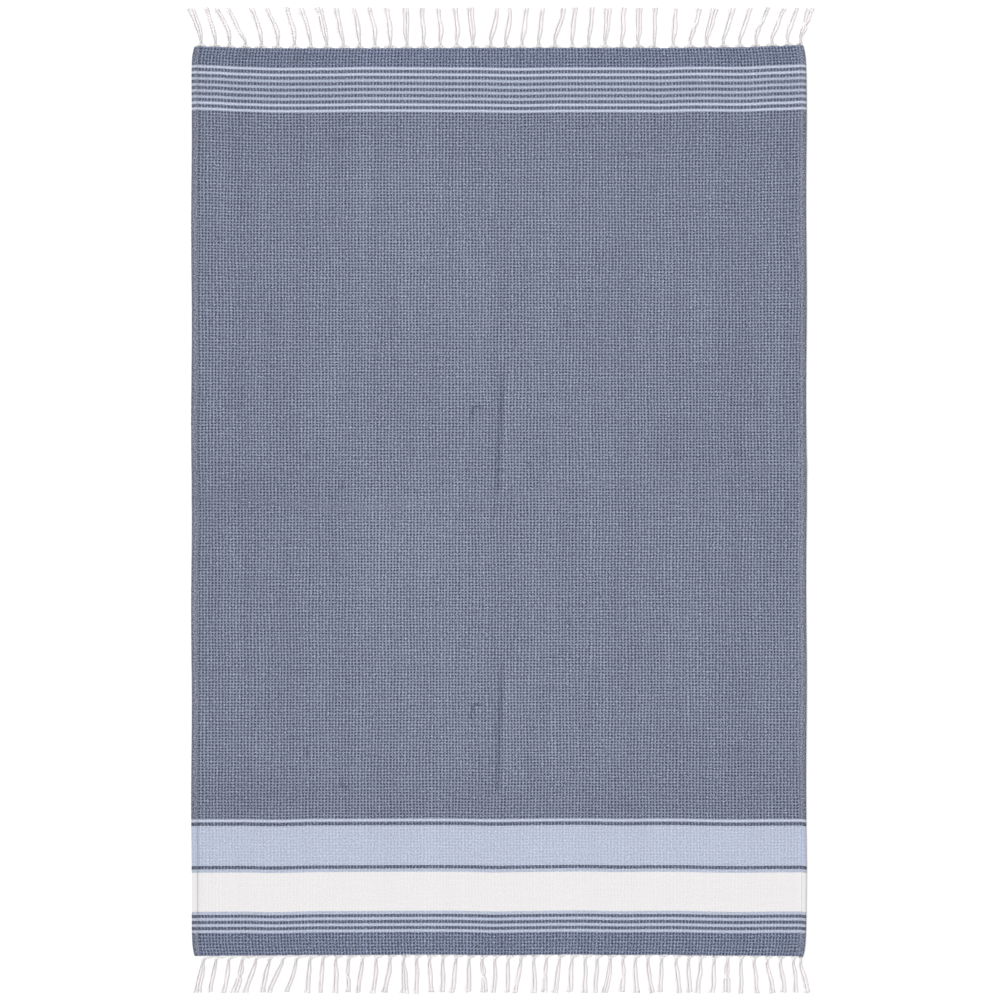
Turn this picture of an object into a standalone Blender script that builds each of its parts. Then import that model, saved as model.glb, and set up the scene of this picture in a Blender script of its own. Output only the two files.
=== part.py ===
"""Hammam towel laid out flat on the ground: one flat-woven cloth with a turned hem down
each long side, and a knotted tassel fringe along each end.

Units are metres and +Z is up. The cloth's width runs along X and its length along Y.
The origin is on the ground, under the middle of the towel.
"""

import math
import random

import bmesh
import bpy

# Cloth
CLOTH_WIDTH = 1.002
CLOTH_LENGTH = 1.478
CLOTH_THICKNESS = 0.0016
CORNER_PULL = 0.0052
CORNER_REACH = 0.015
SIDE_WAVE = 0.0005
SIDE_WAVE_PERIOD = 0.31
SIDE_WAVE_SHIFT = 1.1

# Section of the hem, from the cloth's side edge inwards
HEM_SECTION = (
    # in from the edge, thickness
    (0.0000, 0.0021),
    (0.0015, 0.0029),
    (0.0086, 0.0028),
    (0.0098, CLOTH_THICKNESS),
)

# How far each end of the cloth reaches past half its length
TOP_END = (
    # x, reach
    (-0.501, 0.0031),
    (-0.467, 0.0021),
    (-0.422, 0.0002),
    (-0.324, -0.0003),
    (-0.161, 0.0000),
    (0.035, 0.0005),
    (0.231, 0.0006),
    (0.263, -0.0001),
    (0.328, 0.0010),
    (0.394, 0.0013),
    (0.459, 0.0037),
    (0.501, 0.0053),
)
BOTTOM_END = (
    # x, reach
    (-0.501, 0.0006),
    (-0.490, 0.0015),
    (-0.389, 0.0010),
    (-0.290, 0.0003),
    (-0.096, -0.0004),
    (0.002, 0.0005),
    (0.133, -0.0007),
    (0.198, 0.0003),
    (0.263, -0.0002),
    (0.328, 0.0010),
    (0.451, 0.0016),
    (0.501, 0.0022),
)

# The fold that crosses the cloth at mid length
CROSS_FOLD = (
    # x, y
    (-0.501, 0.006),
    (-0.202, -0.010),
    (0.002, 0.009),
    (0.190, 0.030),
    (0.501, 0.055),
)
CROSS_FOLD_REACH = 0.024
CROSS_FOLD_HEIGHT = 0.0012
CROSS_FOLD_BAND = 0.30

# Soft swells, and the creases pressed into them
FOLDS = (
    # start x, start y, end x, end y, reach to each side, height
    (-0.036, 0.205, -0.044, 0.035, 0.046, 0.0019),
    (0.046, 0.215, 0.036, 0.050, 0.048, 0.0021),
    (0.006, 0.230, -0.003, 0.017, 0.013, -0.0016),
    (-0.036, -0.275, -0.044, -0.455, 0.046, 0.0019),
    (0.046, -0.265, 0.036, -0.450, 0.048, 0.0021),
    (0.006, -0.245, -0.003, -0.475, 0.013, -0.0016),
    (-0.222, 0.560, -0.214, 0.190, 0.042, 0.0010),
    (-0.230, -0.200, -0.205, -0.520, 0.042, 0.0009),
    (0.350, 0.600, 0.340, 0.240, 0.045, 0.0012),
    (0.342, -0.080, 0.352, -0.500, 0.045, 0.0011),
    (-0.420, 0.330, -0.370, 0.120, 0.050, 0.0008),
    (0.205, 0.420, 0.180, 0.160, 0.040, 0.0008),
    (0.190, -0.240, 0.215, -0.560, 0.040, 0.0008),
    (-0.400, -0.260, -0.415, -0.560, 0.048, 0.0009),
)

# Stations of the cloth's grid: across, from its middle, and along, from mid length
ACROSS = (0.0, 0.012, 0.034, 0.060, 0.092, 0.130, 0.170, 0.212, 0.255, 0.300, 0.346, 0.394, 0.442)
ALONG_FOLD = (0.0, 0.012, 0.026, 0.048)
ALONG_STEP = 0.047
ALONG_LAST = 0.660
ALONG_END = (0.030, 0.012, 0.004, 0.0)

# Fringe
GAP = 0.0004
STRIP_WIDTH = 0.0016
STRIP_THICKNESS = 0.0013
LOCK_GAP = 0.0006
LOCK_STEPS = 5
TOP_SHARE = 0.66

# Sections of a tassel, from the strip out to where its locks part
TASSEL_SECTIONS = (
    # out from the strip, half width, height
    (0.0034, 0.0019, 0.0022),
    (0.0048, 0.0027, 0.0041),
    (0.0070, 0.0026, 0.0039),
    (0.0086, 0.0022, 0.0028),
)
ROOT_HALF_WIDTH = 0.0044
PARTING_OUT = 0.0112
PARTING_HALF_WIDTH = 0.0033
PARTING_HEIGHT = 0.0029

# Half width and height of a lock along its length
LOCK_SECTIONS = (
    # share of the length, half width for a pair, half width in a three, height
    (0.0, 0.0017, 0.0012, 0.0028),
    (0.4, 0.0021, 0.0015, 0.0030),
    (0.8, 0.0020, 0.0014, 0.0026),
    (1.0, 0.0018, 0.0012, 0.0020),
)

# How tassels differ: root, lean and reach in metres from their planned places, bend as the power
# that the lean follows, sway and turn as one and two waves along the length, and half spread of
# the locks at the tips
VARIETY = (
    # measure, least, most
    ("root", -0.0003, 0.0003),
    ("lean", -0.0006, 0.0006),
    ("bend", 0.85, 1.3),
    ("sway", -0.0014, 0.0014),
    ("turn", -0.0009, 0.0009),
    ("spread", 0.0021, 0.0035),
    ("reach", -0.0012, 0.0012),
)
THREE_SPREAD = 2.1

# Where tassels start at the cloth's end and where their tips lie; tassels between two rows share
# the difference
TOP_TASSELS = (
    # tassel number, root x, tip x
    (1, -0.4867, -0.5030),
    (2, -0.4631, -0.4786),
    (3, -0.4402, -0.4614),
    (4, -0.4142, -0.4419),
    (5, -0.3881, -0.4044),
    (6, -0.3612, -0.3799),
    (7, -0.3343, -0.3457),
    (8, -0.3082, -0.3237),
    (11, -0.2283, -0.2381),
    (13, -0.1778, -0.1852),
    (14, -0.1509, -0.1534),
    (18, -0.0433, -0.0466),
    (19, -0.0148, -0.0042),
    (20, 0.0096, 0.0162),
    (21, 0.0365, 0.0447),
    (22, 0.0634, 0.0691),
    (23, 0.0903, 0.1042),
    (24, 0.1180, 0.1237),
    (29, 0.2525, 0.2541),
    (30, 0.2827, 0.2876),
    (31, 0.3104, 0.3250),
    (32, 0.3373, 0.3495),
    (33, 0.3650, 0.3805),
    (35, 0.4180, 0.4375),
    (36, 0.4440, 0.4644),
    (37, 0.4693, 0.4856),
    (38, 0.4908, 0.5068),
)
BOTTOM_TASSELS = (
    # tassel number, root x, tip x
    (1, -0.4834, -0.4932),
    (3, -0.4419, -0.4500),
    (4, -0.4199, -0.4329),
    (5, -0.3979, -0.4150),
    (6, -0.3759, -0.3873),
    (7, -0.3539, -0.3750),
    (8, -0.3319, -0.3465),
    (9, -0.3098, -0.3139),
    (12, -0.2463, -0.2471),
    (13, -0.2239, -0.2316),
    (14, -0.2015, -0.2072),
    (15, -0.1790, -0.1884),
    (16, -0.1566, -0.1542),
    (17, -0.1353, -0.1354),
    (18, -0.1142, -0.1102),
    (20, -0.0714, -0.0776),
    (22, -0.0288, -0.0254),
    (23, -0.0076, -0.0099),
    (24, 0.0137, 0.0129),
    (25, 0.0346, 0.0251),
    (26, 0.0556, 0.0553),
    (28, 0.0973, 0.0895),
    (30, 0.1392, 0.1384),
    (31, 0.1588, 0.1572),
    (32, 0.1803, 0.1710),
    (33, 0.2008, 0.1987),
    (35, 0.2419, 0.2492),
    (36, 0.2639, 0.2623),
    (37, 0.2876, 0.2933),
    (39, 0.3275, 0.3234),
    (42, 0.3935, 0.3927),
    (43, 0.4149, 0.4204),
    (44, 0.4363, 0.4448),
    (46, 0.4791, 0.4823),
    (47, 0.4908, 0.5011),
)

# One row of facts for each fringe; its reach is from the cloth's nominal end to the tips
FRINGES = (
    {
        "name": "fringe_top",
        "way": 1,
        "tassels": TOP_TASSELS,
        "reach": 0.0652,
        "threes": (1, 9, 14, 18, 26, 28, 32, 38),
        "seed": 11,
    },
    {
        "name": "fringe_bottom",
        "way": -1,
        "tassels": BOTTOM_TASSELS,
        "reach": 0.0610,
        "threes": (1, 4, 16, 22, 32, 41),
        "seed": 23,
    },
)

WEAVE_COLOUR = (0.195, 0.220, 0.296)
YARN_COLOUR = (0.85, 0.83, 0.83)
WEAVE_ROUGHNESS = 0.92
YARN_ROUGHNESS = 0.88
CREASE_ANGLE = math.radians(50)


def clear_scene():
    """Remove every object that is already in the file."""
    for old in list(bpy.data.objects):
        bpy.data.objects.remove(old, do_unlink=True)


def cloth_material(name, colour, roughness):
    """Return a matt, non-metallic Principled material."""
    material = bpy.data.materials.new(name)
    material.use_nodes = True
    shader = material.node_tree.nodes["Principled BSDF"]
    shader.inputs["Base Color"].default_value = (*colour, 1.0)
    shader.inputs["Roughness"].default_value = roughness
    shader.inputs["Metallic"].default_value = 0.0
    return material


def add_object(name, mesh_data, material, parent):
    """Turn finished bmesh data into a named object with outward faces."""
    bmesh.ops.recalc_face_normals(mesh_data, faces=mesh_data.faces)
    mesh = bpy.data.meshes.new(name)
    mesh_data.to_mesh(mesh)
    mesh_data.free()
    mesh.materials.append(material)
    mesh.shade_smooth()
    mesh.set_sharp_from_angle(angle=CREASE_ANGLE)
    item = bpy.data.objects.new(name, mesh)
    item.parent = parent
    bpy.context.collection.objects.link(item)
    return item


def ease(share):
    """Smooth step from 0 to 1."""
    share = min(max(share, 0.0), 1.0)
    return share * share * (3.0 - 2.0 * share)


def read_table(table, place, smooth=True):
    """Value at a place in a table of (place, value) rows, level past its two ends."""
    if place <= table[0][0]:
        return table[0][1]
    for (left, low), (right, high) in zip(table, table[1:]):
        if place <= right:
            share = (place - left) / (right - left)
            return low + (high - low) * (ease(share) if smooth else share)
    return table[-1][1]


def distance_to_segment(x, y, start_x, start_y, end_x, end_y):
    """Distance in plan from a point to a straight stretch of fold."""
    run_x = end_x - start_x
    run_y = end_y - start_y
    share = ((x - start_x) * run_x + (y - start_y) * run_y) / (run_x**2 + run_y**2)
    share = min(max(share, 0.0), 1.0)
    return math.hypot(x - start_x - share * run_x, y - start_y - share * run_y)


def swell(distance, reach):
    """Rounded cross-section of a fold: 1 on its line, 0 at its reach."""
    share = min(distance / reach, 1.0)
    return (1.0 - share * share) ** 2


def cloth_lift(x, y):
    """Height of the cloth's underside above the ground."""
    height = 0.0
    for start_x, start_y, end_x, end_y, reach, fold_height in FOLDS:
        distance = distance_to_segment(x, y, start_x, start_y, end_x, end_y)
        height += fold_height * swell(distance, reach)
    fold_distance = abs(y - read_table(CROSS_FOLD, x))
    height += CROSS_FOLD_HEIGHT * swell(fold_distance, CROSS_FOLD_REACH)
    return max(height, 0.0)


def half_lengths():
    """Lengthwise stations of the half cloth, from mid length to the end."""
    half = CLOTH_LENGTH / 2
    stations = list(ALONG_FOLD)
    while stations[-1] + ALONG_STEP <= ALONG_LAST:
        stations.append(stations[-1] + ALONG_STEP)
    return stations + [half - inset for inset in ALONG_END]


def cross_stations():
    """Stations across the whole cloth as (place, thickness)."""
    half = CLOTH_WIDTH / 2
    right = [(place, CLOTH_THICKNESS) for place in ACROSS]
    right += [(half - inset, thickness) for inset, thickness in reversed(HEM_SECTION)]
    left = [(-place, thickness) for place, thickness in reversed(right[1:])]
    return left + right


def place_on_cloth(across, along):
    """Plan position of a point of the cloth from its stations."""
    half_width = CLOTH_WIDTH / 2
    half_length = CLOTH_LENGTH / 2
    from_end = half_length - abs(along)
    pull = CORNER_PULL * math.exp(-from_end / CORNER_REACH)
    phase = 2 * math.pi * along / SIDE_WAVE_PERIOD + math.copysign(SIDE_WAVE_SHIFT, across)
    x = across * (half_width - pull + SIDE_WAVE * math.sin(phase)) / half_width
    end_share = ease(abs(along) / half_length)
    end_table = TOP_END if along > 0 else BOTTOM_END
    end_reach = math.copysign(end_share, along) * read_table(end_table, across)
    fold_share = max(1.0 - abs(along) / CROSS_FOLD_BAND, 0.0)
    return x, along + end_reach + read_table(CROSS_FOLD, across) * fold_share


def cloth_edge(way, x):
    """How far the cloth's end lies from mid length at x, straight between its stations."""
    edge = [place_on_cloth(across, way * CLOTH_LENGTH / 2) for across, _ in cross_stations()]
    return abs(read_table(edge, x, smooth=False))


def join_lines(data, near, far):
    """Fill the strip between two lines of points with quads."""
    for index in range(len(near) - 1):
        data.faces.new((near[index], near[index + 1], far[index + 1], far[index]))


def make_cloth(material, parent):
    """One sheet of even thickness, thicker in its two turned hems, lying over its low folds."""
    halves = half_lengths()
    rows = [-station for station in reversed(halves[1:])] + halves
    columns = cross_stations()
    data = bmesh.new()
    under = []
    over = []
    for along in rows:
        under_row = []
        over_row = []
        for across, thickness in columns:
            x, y = place_on_cloth(across, along)
            height = cloth_lift(x, y)
            under_row.append(data.verts.new((x, y, height)))
            over_row.append(data.verts.new((x, y, height + thickness)))
        under.append(under_row)
        over.append(over_row)
    for layer in (under, over):
        for near, far in zip(layer, layer[1:]):
            join_lines(data, near, far)
    for side in (0, -1):
        join_lines(data, [row[side] for row in under], [row[side] for row in over])
        join_lines(data, under[side], over[side])
    return add_object("cloth", data, material, parent)


def plan_tassels(facts):
    """List the tassels of one fringe: root place, lean, bend, spread and reach of each."""
    chance = random.Random(facts["seed"])
    roots = [(number, root) for number, root, _ in facts["tassels"]]
    tips = [(number, tip) for number, _, tip in facts["tassels"]]
    tassels = []
    for number in range(1, roots[-1][0] + 1):
        tassel = {measure: chance.uniform(least, most) for measure, least, most in VARIETY}
        root = read_table(roots, number, smooth=False)
        tassel["root"] += root
        tassel["lean"] += read_table(tips, number, smooth=False) - root
        tassel["reach"] += facts["reach"]
        tassel["locks"] = 2
        if number in facts["threes"]:
            tassel["locks"] = 3
            tassel["spread"] *= THREE_SPREAD
        tassels.append(tassel)
    limit_spread(tassels)
    return tassels


def limit_spread(tassels):
    """Keep each tassel's spread within the room that its neighbours' tips leave."""
    tips = [tassel["root"] + tassel["lean"] for tassel in tassels]
    rooms = [right - left for left, right in zip(tips, tips[1:])]
    widest = LOCK_SECTIONS[2][1]
    for index, tassel in enumerate(tassels):
        nearest = min(rooms[max(index - 1, 0) : index + 1])
        room = nearest / 2 - widest - LOCK_GAP
        tassel["spread"] = min(tassel["spread"], room)


def ring(data, centre_x, half_width, y, height):
    """Four points of a flat-bottomed section: low left, low right, high right, high left."""
    top = half_width * TOP_SHARE
    return [
        data.verts.new((centre_x - half_width, y, 0.0)),
        data.verts.new((centre_x + half_width, y, 0.0)),
        data.verts.new((centre_x + top, y, height)),
        data.verts.new((centre_x - top, y, height)),
    ]


def join_rings(data, near, far):
    """Close the four sides between two sections."""
    for corner in range(4):
        following = (corner + 1) % 4
        data.faces.new((near[corner], near[following], far[following], far[corner]))


def parting_section(data, tassel, y, locks):
    """Points along the foot and the top of the section where the locks part."""
    foot = []
    crown = []
    for step in range(locks + 1):
        share = 2.0 * step / locks - 1.0
        foot.append(data.verts.new((tassel["root"] + PARTING_HALF_WIDTH * share, y, 0.0)))
        crown_x = tassel["root"] + PARTING_HALF_WIDTH * share * TOP_SHARE
        crown.append(data.verts.new((crown_x, y, PARTING_HEIGHT)))
    return foot, crown


def lock_size(share, locks):
    """Half width and height of a lock at a share of its length."""
    width_table = tuple((row[0], row[1] if locks == 2 else row[2]) for row in LOCK_SECTIONS)
    height_table = tuple((row[0], row[3]) for row in LOCK_SECTIONS)
    return read_table(width_table, share), read_table(height_table, share)


def lock_line(tassel, share, side, half_width):
    """Place across of a lock's middle at a share of its length; side runs from -1 to 1."""
    middle = tassel["root"] + tassel["lean"] * share ** tassel["bend"]
    middle += tassel["sway"] * math.sin(math.pi * share) + tassel["turn"] * math.sin(2 * math.pi * share)
    step = 2.0 / (tassel["locks"] - 1)
    least = (half_width + LOCK_GAP / 2) * 2.0 / step
    apart = least + max(tassel["spread"] - least, 0.0) * share
    return middle + side * apart


def grow_lock(data, tassel, lock, parting, edge, way):
    """Carry one lock from the parting to its tip."""
    foot, crown = parting
    near = [foot[lock], foot[lock + 1], crown[lock + 1], crown[lock]]
    side = 2.0 * lock / (tassel["locks"] - 1) - 1.0
    start = edge + way * PARTING_OUT
    run = way * (CLOTH_LENGTH / 2 + tassel["reach"]) - start
    for step in range(1, LOCK_STEPS + 1):
        share = step / LOCK_STEPS
        half_width, height = lock_size(share, tassel["locks"])
        centre = lock_line(tassel, share, side, half_width)
        far = ring(data, centre, half_width, start + run * share, height)
        join_rings(data, near, far)
        near = far
    data.faces.new(near)


def grow_tassel(data, tassel, root, edge, way):
    """Carry one tassel out of the strip: its gather, knot and neck, and then its locks."""
    near = root
    for out, half_width, height in TASSEL_SECTIONS:
        far = ring(data, tassel["root"], half_width, edge + way * out, height)
        join_rings(data, near, far)
        near = far
    foot, crown = parting_section(data, tassel, edge + way * PARTING_OUT, tassel["locks"])
    data.faces.new((near[0], near[1], *reversed(foot)))
    data.faces.new((near[3], near[2], *reversed(crown)))
    data.faces.new((near[1], near[2], crown[-1], foot[-1]))
    data.faces.new((near[0], near[3], crown[0], foot[0]))
    for lock in range(tassel["locks"]):
        grow_lock(data, tassel, lock, (foot, crown), edge, way)


def strip_column(data, facts, x):
    """Four points of the strip at x: inner low, inner high, outer low, outer high."""
    inner = facts["way"] * (cloth_edge(facts["way"], x) + GAP)
    outer = inner + facts["way"] * STRIP_WIDTH
    return [
        data.verts.new((x, inner, 0.0)),
        data.verts.new((x, inner, STRIP_THICKNESS)),
        data.verts.new((x, outer, 0.0)),
        data.verts.new((x, outer, STRIP_THICKNESS)),
    ]


def make_fringe(facts, material, parent):
    """A narrow strip along one end of the cloth, with a knotted tassel at each root."""
    tassels = plan_tassels(facts)
    data = bmesh.new()
    strip_half = CLOTH_WIDTH / 2 - CORNER_PULL
    places = [-strip_half]
    for tassel in tassels:
        places += [tassel["root"] - ROOT_HALF_WIDTH, tassel["root"] + ROOT_HALF_WIDTH]
    places.append(strip_half)
    columns = [strip_column(data, facts, x) for x in places]
    for left, right in zip(columns, columns[1:]):
        data.faces.new((left[0], left[1], right[1], right[0]))
        data.faces.new((left[1], left[3], right[3], right[1]))
        data.faces.new((left[2], left[0], right[0], right[2]))
    for end in (columns[0], columns[-1]):
        data.faces.new((end[0], end[1], end[3], end[2]))
    for index, (left, right) in enumerate(zip(columns, columns[1:])):
        if index % 2 == 0:
            data.faces.new((left[2], left[3], right[3], right[2]))
            continue
        tassel = tassels[index // 2]
        edge = facts["way"] * (cloth_edge(facts["way"], tassel["root"]) + GAP + STRIP_WIDTH)
        root = [left[2], right[2], right[3], left[3]]
        grow_tassel(data, tassel, root, edge, facts["way"])
    return add_object(facts["name"], data, material, parent)


def main():
    clear_scene()
    towel = bpy.data.objects.new("towel", None)
    bpy.context.collection.objects.link(towel)
    weave = cloth_material("flat weave", WEAVE_COLOUR, WEAVE_ROUGHNESS)
    yarn = cloth_material("fringe yarn", YARN_COLOUR, YARN_ROUGHNESS)
    make_cloth(weave, towel)
    for facts in FRINGES:
        make_fringe(facts, yarn, towel)


main()
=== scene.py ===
"""Looks of a hammam towel laid out flat: its woven cloth, hem stitching and knotted fringes.

Metres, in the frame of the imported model: +X across, +Y to the striped end, +Z up.
"""

import math
import random
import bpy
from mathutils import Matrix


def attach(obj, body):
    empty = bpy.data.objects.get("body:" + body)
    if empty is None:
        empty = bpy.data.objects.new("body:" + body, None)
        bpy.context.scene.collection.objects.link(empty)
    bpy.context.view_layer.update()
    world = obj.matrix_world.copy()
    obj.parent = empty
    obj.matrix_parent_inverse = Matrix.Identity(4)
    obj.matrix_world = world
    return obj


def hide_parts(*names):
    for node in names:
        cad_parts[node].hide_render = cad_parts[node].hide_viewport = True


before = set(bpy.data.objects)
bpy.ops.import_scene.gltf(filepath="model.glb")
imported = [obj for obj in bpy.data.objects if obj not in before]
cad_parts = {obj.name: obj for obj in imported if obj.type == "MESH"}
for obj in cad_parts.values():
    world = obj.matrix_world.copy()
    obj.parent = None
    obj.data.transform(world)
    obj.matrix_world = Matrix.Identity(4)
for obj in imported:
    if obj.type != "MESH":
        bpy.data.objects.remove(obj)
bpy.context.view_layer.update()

from types import SimpleNamespace

import bpy
import numpy as np
from mathutils import noise

ROOT = "root"
TURN = 2 * math.pi

# Cloth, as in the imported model
CLOTH_WIDTH = 1.002
CLOTH_LENGTH = 1.478
HALF_WIDTH = CLOTH_WIDTH / 2
HALF_LENGTH = CLOTH_LENGTH / 2
CLOTH_THICKNESS = 0.0016
CORNER_PULL = 0.0052
CORNER_REACH = 0.015
SIDE_WAVE = 0.0005
SIDE_WAVE_PERIOD = 0.31
SIDE_WAVE_SHIFT = 1.1

# How far each end of the cloth reaches past half its length: x, reach
TOP_END = (
    (-0.501, 0.0031), (-0.467, 0.0021), (-0.422, 0.0002), (-0.324, -0.0003), (-0.161, 0.0),
    (0.035, 0.0005), (0.231, 0.0006), (0.263, -0.0001), (0.328, 0.001), (0.394, 0.0013),
    (0.459, 0.0037), (0.501, 0.0053),
)
BOTTOM_END = (
    (-0.501, 0.0006), (-0.49, 0.0015), (-0.389, 0.001), (-0.29, 0.0003), (-0.096, -0.0004),
    (0.002, 0.0005), (0.133, -0.0007), (0.198, 0.0003), (0.263, -0.0002), (0.328, 0.001),
    (0.451, 0.0016), (0.501, 0.0022),
)

# The fold that crosses the cloth at mid length: x, y
CROSS_FOLD = (
    (-0.501, 0.006), (-0.202, -0.01), (0.002, 0.009), (0.19, 0.03), (0.501, 0.055),
)
CROSS_FOLD_REACH = 0.024
CROSS_FOLD_HEIGHT = 0.0012

# Soft swells, and the creases pressed into them, which have a height below 0:
# start x, start y, end x, end y, reach to each side, height
FOLDS = (
    (-0.036, 0.205, -0.044, 0.035, 0.046, 0.0019), (0.046, 0.215, 0.036, 0.05, 0.048, 0.0021),
    (0.006, 0.224, -0.003, 0.009, 0.013, -0.0016), (-0.036, -0.275, -0.044, -0.455, 0.046, 0.0019),
    (0.046, -0.265, 0.036, -0.45, 0.048, 0.0021), (0.006, -0.245, -0.003, -0.475, 0.013, -0.0016),
    (-0.222, 0.56, -0.214, 0.19, 0.042, 0.001), (-0.23, -0.2, -0.205, -0.52, 0.042, 0.0009),
    (0.35, 0.6, 0.34, 0.24, 0.045, 0.0012), (0.342, -0.08, 0.352, -0.5, 0.045, 0.0011),
    (-0.42, 0.33, -0.37, 0.12, 0.05, 0.0008), (0.205, 0.42, 0.18, 0.16, 0.04, 0.0008),
    (0.19, -0.24, 0.215, -0.56, 0.04, 0.0008), (-0.4, -0.26, -0.415, -0.56, 0.048, 0.0009),
)

# Fine unevenness of washed cloth: size of its ripples across and along, and their height
RELIEF = ((0.03, 0.06, 0.00035), (0.012, 0.022, 0.00012))
RELIEF_PLANE = 1e4

# The hem in section: in from the side edge, underside, top
HEM_SECTION = (
    (0.0, 0.0008, 0.0012), (0.0004, 0.0003, 0.0021), (0.0012, 0.0, 0.0027), (0.003, 0.0, 0.0029),
    (0.0056, 0.0, 0.0029), (0.008, 0.0, 0.0028), (0.0088, 0.0, 0.0026), (0.0093, 0.0, 0.0025),
    (0.0098, 0.0, 0.0019), (0.0112, 0.0, CLOTH_THICKNESS),
)
HEM_WIDTH = 0.0097
HEM_LOOK_WIDTH = 0.0112
HEM_DROP = 0.0009
INNER_COLUMNS = 134
LEAST_THICKNESS = 0.0002
END_ROWS = (0.0, 0.1, 0.35)

# How the cloth thins at its ends: in from the end, share of the thickness
END_TAPER = ((0.0, 0.55), (0.0005, 0.85), (0.0017, 1.0))

# The weave: station along the cloth and row of cells, numbered from the lowest band up
ROW_PLACES = (
    (-0.739, -7.1), (-0.7018, 0.0), (-0.672, 6.0), (-0.6669, 7.0), (-0.6036, 20.0), (-0.5982, 21.0),
    (-0.5923, 22.0), (-0.5276, 35.0), (-0.5218, 36.0), (-0.5164, 37.0), (0.6336, 272.0),
    (0.7072, 287.0), (0.739, 293.3),
)
COLUMNS = 189.4

# How far the rows run off straight in the stripes and in the bands: x, shift along the cloth
STRIPE_WAVE = (
    (-0.48, 0.0017), (-0.441, 0.0015), (-0.363, 0.0001), (-0.285, 0.0005), (-0.226, 0.0012),
    (-0.167, 0.001), (-0.05, 0.0002), (0.028, -0.001), (0.107, 0.0), (0.224, 0.0), (0.302, 0.0008),
    (0.341, 0.0007), (0.38, 0.0001), (0.47, 0.0002),
)
BAND_WAVE = (
    (-0.42, 0.0), (-0.363, -0.001), (-0.285, 0.0), (-0.05, 0.0), (-0.011, -0.0005), (0.03, 0.0),
    (0.26, 0.0), (0.302, 0.0005), (0.38, -0.0003), (0.459, 0.0007), (0.498, 0.0013),
)
WAVE_END = 0.033
STRIPE_WAVE_START = (0.45, 0.62)
BAND_WAVE_START = (0.36, 0.5)

# First row of a band or stripe, and the kinds of the rows from there
BANDS = (
    (-8, ("end",) * 8),
    (0, ("pale", "dashes", "pale", "dashes", "pale", "dashes", "ice")),
    (7, ("white",) * 13),
    (20, ("ice", "dashes")),
    (22, ("blue",) * 13),
    (35, ("dashes", "bright")),
    (272, ("bright", "dots", "bright")),
    (275, ("dots", "mist") * 4 + ("dots",)),
    (284, ("bright", "dots", "bright")),
    (287, ("end",) * 7),
)

# Kinds of rows: ridge, pit and hem colour, half width and half height of a pit, strength,
# liveliness, how much the row is shaded along its two sides
KINDS = {
    "ground": ((133, 140, 160), (56, 61, 80), (112, 116, 131), 0.335, 0.36, 1.0, 1.0, 0.0),
    "end": ((124, 133, 156), (53, 59, 78), (106, 112, 130), 0.325, 0.375, 1.0, 1.1, 0.0),
    "bright": ((189, 196, 216), (173, 181, 203), (186, 192, 209), 0.3, 0.34, 0.5, 0.45, 0.5),
    "mist": ((172, 181, 200), (154, 162, 183), (170, 177, 194), 0.3, 0.34, 0.5, 0.5, 0.42),
    "pale": ((181, 189, 208), (162, 170, 191), (174, 181, 198), 0.3, 0.34, 0.5, 0.5, 0.36),
    "dots": ((131, 138, 158), (76, 82, 101), (104, 109, 126), 0.34, 0.66, 1.0, 1.0, 0.0),
    "dashes": ((128, 135, 154), (76, 82, 100), (90, 94, 110), 0.38, 0.62, 1.0, 1.0, 0.0),
    "blue": ((179, 187, 204), (162, 171, 190), (172, 181, 199), 0.3, 0.32, 0.8, 0.45, 0.0),
    "ice": ((176, 184, 200), (161, 170, 187), (170, 177, 191), 0.3, 0.32, 0.6, 0.45, 0.0),
    "white": ((222, 219, 220), (215, 212, 213), (220, 219, 219), 0.3, 0.32, 0.3, 0.12, 0.0),
}

# The hems: how much their pits show, how dark the pits are, how uneven and how light the cloth is
HEM_STRENGTH = 0.5
HEM_PIT_TONE = 0.62
HEM_LIFE = 1.5
HEM_TONE = 0.26

# Pits, in cells: how soft their rims are, how far they stray, slant and lengthen, how full they are
PIT_EDGE = (1.42, 0.45)
PIT_STRAY = 0.05
PIT_SLANT = 0.4
PIT_STRETCH = 0.16
PIT_STRETCH_SIZE = (0.24, 0.24)
PIT_FULLNESS = (0.83, 1.07)
PIT_DEPTH = 0.0007

# How far the columns wander, and how unevenly rows and columns are spaced, in cells
BEND = 0.4
BEND_SIZE = (0.1, 0.035)
DRIFT = 0.2
DRIFT_SIZE = (0.5, 0.05)
MAP_SHIFT = 17.0

# Floats and crossings between the pits, and the yarns that lie side by side in them
FLOAT_EDGE = (0.22, 0.46)
FLOAT_GAIN = -0.03
CROSSING_GAIN = 0.14
ROW_SIDE = (0.14, 0.52)
YARNS = 7.0
YARN_TURN = 0.08
# The grooves between the yarns are painted darker in step with their relief, as painted shade
YARN_GAIN = 0.09
YARN_RELIEF = 0.00011
FIBRE_SIZE = (24.0, 24.0)
FIBRE_GAIN = 0.12
FIBRE_RELIEF = 0.00004
THICK_WEFT = (0.3, 0.24, 1.0, 0.88)
THICK_WEFT_SIZE = (0.05, 0.42)

# Noises that make the weave uneven: scale across, scale along, plane, detail, gain
UNEVENNESS = (
    (0.114, 1.9, 5.7, 3.0, 0.1), (1.7, 0.0595, 15.3, 3.0, 0.12), (0.16, 0.096, 0.0, 3.0, 0.02),
    (0.16, 0.012, 0.0, 1.0, 0.08), (3.0, 2.1, 0.0, 0.0, 0.63), (2.1, 3.0, 0.0, 0.0, 0.63),
)

# Where the cloth was folded across and pressed, so that its weave shows less; the fold line is also
# painted darker, partly to offset its shallower pits and partly as painted shade along the fold
PRESS_HALF_WIDTH = 0.0045
PRESS_LEAST = 0.45
PRESS_MIDDLE = -0.25
PRESS_REACH = 0.11
PRESS_OFFSET_AND_SHADE = -0.18
PRESS_PITS = -0.55

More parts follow.
